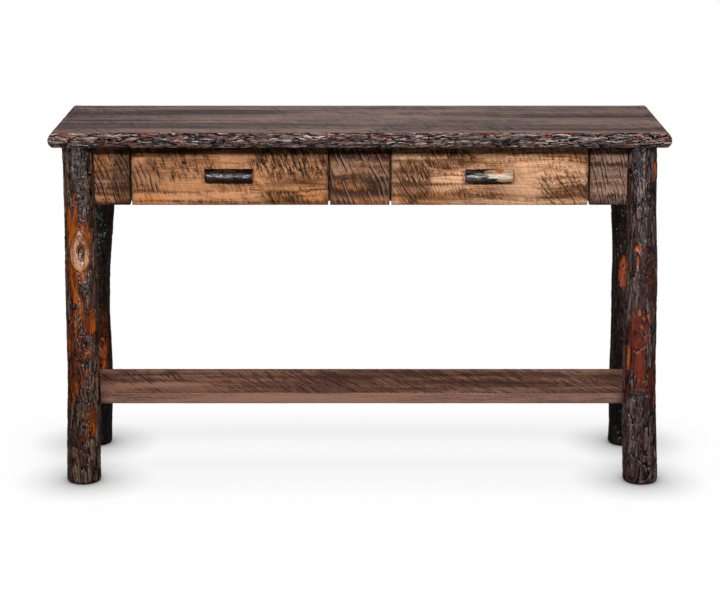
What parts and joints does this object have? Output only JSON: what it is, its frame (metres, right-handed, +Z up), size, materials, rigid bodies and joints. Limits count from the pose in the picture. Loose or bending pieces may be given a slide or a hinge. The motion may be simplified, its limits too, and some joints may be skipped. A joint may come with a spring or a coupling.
{
  "type": "log console table",
  "caption": "Rustic console table with bark-on log legs, a planked top with bark edges, a sawn apron with twig-pull drawers that slide out, and a low shelf.",
  "frame": {"origin": "on the floor under the middle of the top", "axes": "+X along the table to the right of someone who faces its front, -Y out of the front, where the drawers open, +Z up"},
  "size_m": [1.372, 0.406, 0.82],
  "materials": {
    "log_bark": "dark bark under clear lacquer",
    "edge_bark": "grey-brown bark under clear lacquer",
    "top_wood": "rough sawn plank, satin lacquer",
    "apron_wood": "rough sawn board, satin lacquer",
    "shelf_wood": "rough sawn plank, satin lacquer",
    "pull_twig": "barked twig under clear lacquer",
    "inner_wood": "planed softwood, bare",
    "screw_steel": "zinc plated"
  },
  "bodies": {
    "frame": {"apron_back": "apron_wood", "apron_end_left": "apron_wood", "apron_end_right": "apron_wood", "apron_stile_centre": "apron_wood", "apron_stile_left": "apron_wood", "apron_stile_right": "apron_wood", "bark_edge_front": "edge_bark", "bark_edge_left": "edge_bark", "bark_edge_right": "edge_bark", "cleat_screws_centre": "screw_steel", "cleat_screws_left": "screw_steel", "cleat_screws_right": "screw_steel", "drawer_stop_left": "inner_wood", "drawer_stop_right": "inner_wood", "guide_left_far": "inner_wood", "guide_left_near": "inner_wood", "guide_right_far": "inner_wood", "guide_right_near": "inner_wood", "guide_screws": "screw_steel", "leg_back_left": "log_bark", "leg_back_right": "log_bark", "leg_front_left": "log_bark", "leg_front_right": "log_bark", "lower_shelf": "shelf_wood", "runner_left_far": "inner_wood", "runner_left_near": "inner_wood", "runner_right_far": "inner_wood", "runner_right_near": "inner_wood", "runner_screws_left_far": "screw_steel", "runner_screws_left_near": "screw_steel", "runner_screws_right_far": "screw_steel", "runner_screws_right_near": "screw_steel", "shelf_screws": "screw_steel", "stop_screws": "screw_steel", "stretcher_left": "log_bark", "stretcher_right": "log_bark", "top_cleat_centre": "inner_wood", "top_cleat_left": "inner_wood", "top_cleat_right": "inner_wood", "top_plank_back": "top_wood", "top_plank_front": "top_wood", "top_screws": "screw_steel"},
    "drawer_left": {"drawer_left_bottom": "inner_wood", "drawer_left_box_back": "inner_wood", "drawer_left_box_front": "inner_wood", "drawer_left_front": "apron_wood", "drawer_left_front_screws": "screw_steel", "drawer_left_pull": "pull_twig", "drawer_left_pull_screws": "screw_steel", "drawer_left_side_far": "inner_wood", "drawer_left_side_near": "inner_wood"},
    "drawer_right": {"drawer_right_bottom": "inner_wood", "drawer_right_box_back": "inner_wood", "drawer_right_box_front": "inner_wood", "drawer_right_front": "apron_wood", "drawer_right_front_screws": "screw_steel", "drawer_right_pull": "pull_twig", "drawer_right_pull_screws": "screw_steel", "drawer_right_side_far": "inner_wood", "drawer_right_side_near": "inner_wood"}
  },
  "joints": [
    {"name": "drawer_left_slide", "type": "slide", "parent": "frame", "child": "drawer_left", "axis": [0, -1, 0], "range_m": [0, 0.2]},
    {"name": "drawer_right_slide", "type": "slide", "parent": "frame", "child": "drawer_right", "axis": [0, -1, 0], "range_m": [0, 0.2]}
  ]
}
